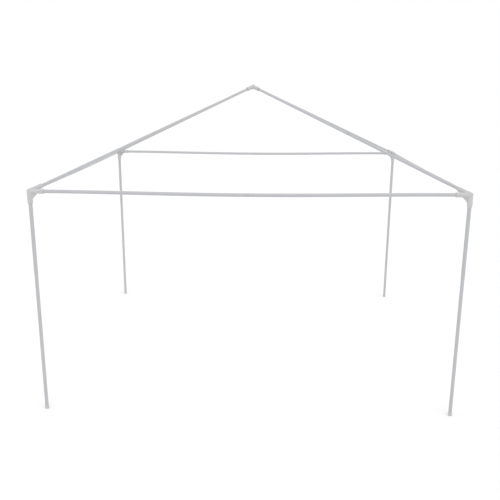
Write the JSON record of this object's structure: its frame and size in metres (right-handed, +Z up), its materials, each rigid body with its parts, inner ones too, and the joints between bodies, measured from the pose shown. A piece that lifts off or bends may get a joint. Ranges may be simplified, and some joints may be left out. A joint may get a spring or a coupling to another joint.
{
  "type": "canopy frame",
  "caption": "Bare square canopy frame with a pyramid roof: coated steel tubes pushed into moulded corner and crown connectors and held by spring buttons.",
  "frame": {"origin": "on the ground under the peak of the roof, in the middle of the four legs", "axes": "+Z up, -Y out of the front side, +X along the front beam towards its right end"},
  "size_m": [3.6956, 3.6956, 2.8545],
  "materials": {
    "coated_steel": "semi-gloss powder coat",
    "moulding": "fine moulded grain",
    "plated_steel": "zinc plated"
  },
  "bodies": {
    "roof_frame": {"corner_connector_front_left": "moulding", "front_beam_left_half": "coated_steel", "front_beam_right_half": "coated_steel", "rafter_lower_front_left": "coated_steel", "rafter_upper_front_left": "coated_steel", "corner_connector_front_right": "moulding", "right_beam_front_half": "coated_steel", "right_beam_back_half": "coated_steel", "rafter_lower_front_right": "coated_steel", "rafter_upper_front_right": "coated_steel", "corner_connector_back_right": "moulding", "back_beam_right_half": "coated_steel", "back_beam_left_half": "coated_steel", "rafter_lower_back_right": "coated_steel", "rafter_upper_back_right": "coated_steel", "corner_connector_back_left": "moulding", "left_beam_back_half": "coated_steel", "left_beam_front_half": "coated_steel", "rafter_lower_back_left": "coated_steel", "rafter_upper_back_left": "coated_steel", "crown_connector": "moulding"},
    "front_beam_button_left": {"front_beam_button_left": "plated_steel"},
    "front_beam_button_middle": {"front_beam_button_middle": "plated_steel"},
    "front_beam_button_right": {"front_beam_button_right": "plated_steel"},
    "right_beam_button_front": {"right_beam_button_front": "plated_steel"},
    "right_beam_button_middle": {"right_beam_button_middle": "plated_steel"},
    "right_beam_button_back": {"right_beam_button_back": "plated_steel"},
    "back_beam_button_right": {"back_beam_button_right": "plated_steel"},
    "back_beam_button_middle": {"back_beam_button_middle": "plated_steel"},
    "back_beam_button_left": {"back_beam_button_left": "plated_steel"},
    "left_beam_button_back": {"left_beam_button_back": "plated_steel"},
    "left_beam_button_middle": {"left_beam_button_middle": "plated_steel"},
    "left_beam_button_front": {"left_beam_button_front": "plated_steel"},
    "upper_leg_front_left": {"upper_leg_front_left": "coated_steel"},
    "lower_leg_front_left": {"lower_leg_front_left": "coated_steel", "foot_cap_front_left": "moulding"},
    "leg_button_front_left": {"leg_button_front_left": "plated_steel"},
    "leg_joint_button_front_left": {"leg_joint_button_front_left": "plated_steel"},
    "upper_leg_front_right": {"upper_leg_front_right": "coated_steel"},
    "lower_leg_front_right": {"lower_leg_front_right": "coated_steel", "foot_cap_front_right": "moulding"},
    "leg_button_front_right": {"leg_button_front_right": "plated_steel"},
    "leg_joint_button_front_right": {"leg_joint_button_front_right": "plated_steel"},
    "upper_leg_back_right": {"upper_leg_back_right": "coated_steel"},
    "lower_leg_back_right": {"lower_leg_back_right": "coated_steel", "foot_cap_back_right": "moulding"},
    "leg_button_back_right": {"leg_button_back_right": "plated_steel"},
    "leg_joint_button_back_right": {"leg_joint_button_back_right": "plated_steel"},
    "upper_leg_back_left": {"upper_leg_back_left": "coated_steel"},
    "lower_leg_back_left": {"lower_leg_back_left": "coated_steel", "foot_cap_back_left": "moulding"},
    "leg_button_back_left": {"leg_button_back_left": "plated_steel"},
    "leg_joint_button_back_left": {"leg_joint_button_back_left": "plated_steel"}
  },
  "joints": [
    {"name": "front_beam_button_left_press", "type": "slide", "parent": "roof_frame", "child": "front_beam_button_left", "axis": [0, 1, 0], "range_m": [0, 0.0059], "stiffness_N_per_m": 1500, "springref_m": -0.003},
    {"name": "front_beam_button_middle_press", "type": "slide", "parent": "roof_frame", "child": "front_beam_button_middle", "axis": [0, 1, 0], "range_m": [0, 0.004], "stiffness_N_per_m": 1500, "springref_m": -0.003},
    {"name": "front_beam_button_right_press", "type": "slide", "parent": "roof_frame", "child": "front_beam_button_right", "axis": [0, 1, 0], "range_m": [0, 0.0059], "stiffness_N_per_m": 1500, "springref_m": -0.003},
    {"name": "right_beam_button_front_press", "type": "slide", "parent": "roof_frame", "child": "right_beam_button_front", "axis": [-1, 0, 0], "range_m": [0, 0.0059], "stiffness_N_per_m": 1500, "springref_m": -0.003},
    {"name": "right_beam_button_middle_press", "type": "slide", "parent": "roof_frame", "child": "right_beam_button_middle", "axis": [-1, 0, 0], "range_m": [0, 0.004], "stiffness_N_per_m": 1500, "springref_m": -0.003},
    {"name": "right_beam_button_back_press", "type": "slide", "parent": "roof_frame", "child": "right_beam_button_back", "axis": [-1, 0, 0], "range_m": [0, 0.0059], "stiffness_N_per_m": 1500, "springref_m": -0.003},
    {"name": "back_beam_button_right_press", "type": "slide", "parent": "roof_frame", "child": "back_beam_button_right", "axis": [0, -1, 0], "range_m": [0, 0.0059], "stiffness_N_per_m": 1500, "springref_m": -0.003},
    {"name": "back_beam_button_middle_press", "type": "slide", "parent": "roof_frame", "child": "back_beam_button_middle", "axis": [0, -1, 0], "range_m": [0, 0.004], "stiffness_N_per_m": 1500, "springref_m": -0.003},
    {"name": "back_beam_button_left_press", "type": "slide", "parent": "roof_frame", "child": "back_beam_button_left", "axis": [0, -1, 0], "range_m": [0, 0.0059], "stiffness_N_per_m": 1500, "springref_m": -0.003},
    {"name": "left_beam_button_back_press", "type": "slide", "parent": "roof_frame", "child": "left_beam_button_back", "axis": [1, 0, 0], "range_m": [0, 0.0059], "stiffness_N_per_m": 1500, "springref_m": -0.003},
    {"name": "left_beam_button_middle_press", "type": "slide", "parent": "roof_frame", "child": "left_beam_button_middle", "axis": [1, 0, 0], "range_m": [0, 0.004], "stiffness_N_per_m": 1500, "springref_m": -0.003},
    {"name": "left_beam_button_front_press", "type": "slide", "parent": "roof_frame", "child": "left_beam_button_front", "axis": [1, 0, 0], "range_m": [0, 0.0059], "stiffness_N_per_m": 1500, "springref_m": -0.003},
    {"name": "upper_leg_front_left_pull", "type": "slide", "parent": "roof_frame", "child": "upper_leg_front_left", "axis": [0, 0, -1], "range_m": [0, 0.08], "deforming": ["leg_button_front_left"]},
    {"name": "lower_leg_front_left_pull", "type": "slide", "parent": "upper_leg_front_left", "child": "lower_leg_front_left", "axis": [0, 0, -1], "range_m": [0, 0.105], "deforming": ["leg_joint_button_front_left"]},
    {"name": "leg_button_front_left_press", "type": "slide", "parent": "upper_leg_front_left", "child": "leg_button_front_left", "axis": [0.7071, 0.7071, 0], "range_m": [0, 0.0067], "stiffness_N_per_m": 1500, "springref_m": -0.003},
    {"name": "leg_joint_button_front_left_press", "type": "slide", "parent": "lower_leg_front_left", "child": "leg_joint_button_front_left", "axis": [0.7071, 0.7071, 0], "range_m": [0, 0.0037], "stiffness_N_per_m": 1500, "springref_m": -0.003},
    {"name": "upper_leg_front_right_pull", "type": "slide", "parent": "roof_frame", "child": "upper_leg_front_right", "axis": [0, 0, -1], "range_m": [0, 0.08], "deforming": ["leg_button_front_right"]},
    {"name": "lower_leg_front_right_pull", "type": "slide", "parent": "upper_leg_front_right", "child": "lower_leg_front_right", "axis": [0, 0, -1], "range_m": [0, 0.105], "deforming": ["leg_joint_button_front_right"]},
    {"name": "leg_button_front_right_press", "type": "slide", "parent": "upper_leg_front_right", "child": "leg_button_front_right", "axis": [-0.7071, 0.7071, 0], "range_m": [0, 0.0067], "stiffness_N_per_m": 1500, "springref_m": -0.003},
    {"name": "leg_joint_button_front_right_press", "type": "slide", "parent": "lower_leg_front_right", "child": "leg_joint_button_front_right", "axis": [-0.7071, 0.7071, 0], "range_m": [0, 0.0037], "stiffness_N_per_m": 1500, "springref_m": -0.003},
    {"name": "upper_leg_back_right_pull", "type": "slide", "parent": "roof_frame", "child": "upper_leg_back_right", "axis": [0, 0, -1], "range_m": [0, 0.08], "deforming": ["leg_button_back_right"]},
    {"name": "lower_leg_back_right_pull", "type": "slide", "parent": "upper_leg_back_right", "child": "lower_leg_back_right", "axis": [0, 0, -1], "range_m": [0, 0.105], "deforming": ["leg_joint_button_back_right"]},
    {"name": "leg_button_back_right_press", "type": "slide", "parent": "upper_leg_back_right", "child": "leg_button_back_right", "axis": [-0.7071, -0.7071, 0], "range_m": [0, 0.0067], "stiffness_N_per_m": 1500, "springref_m": -0.003},
    {"name": "leg_joint_button_back_right_press", "type": "slide", "parent": "lower_leg_back_right", "child": "leg_joint_button_back_right", "axis": [-0.7071, -0.7071, 0], "range_m": [0, 0.0037], "stiffness_N_per_m": 1500, "springref_m": -0.003},
    {"name": "upper_leg_back_left_pull", "type": "slide", "parent": "roof_frame", "child": "upper_leg_back_left", "axis": [0, 0, -1], "range_m": [0, 0.08], "deforming": ["leg_button_back_left"]},
    {"name": "lower_leg_back_left_pull", "type": "slide", "parent": "upper_leg_back_left", "child": "lower_leg_back_left", "axis": [0, 0, -1], "range_m": [0, 0.105], "deforming": ["leg_joint_button_back_left"]},
    {"name": "leg_button_back_left_press", "type": "slide", "parent": "upper_leg_back_left", "child": "leg_button_back_left", "axis": [0.7071, -0.7071, 0], "range_m": [0, 0.0067], "stiffness_N_per_m": 1500, "springref_m": -0.003},
    {"name": "leg_joint_button_back_left_press", "type": "slide", "parent": "lower_leg_back_left", "child": "leg_joint_button_back_left", "axis": [0.7071, -0.7071, 0], "range_m": [0, 0.0037], "stiffness_N_per_m": 1500, "springref_m": -0.003}
  ]
}
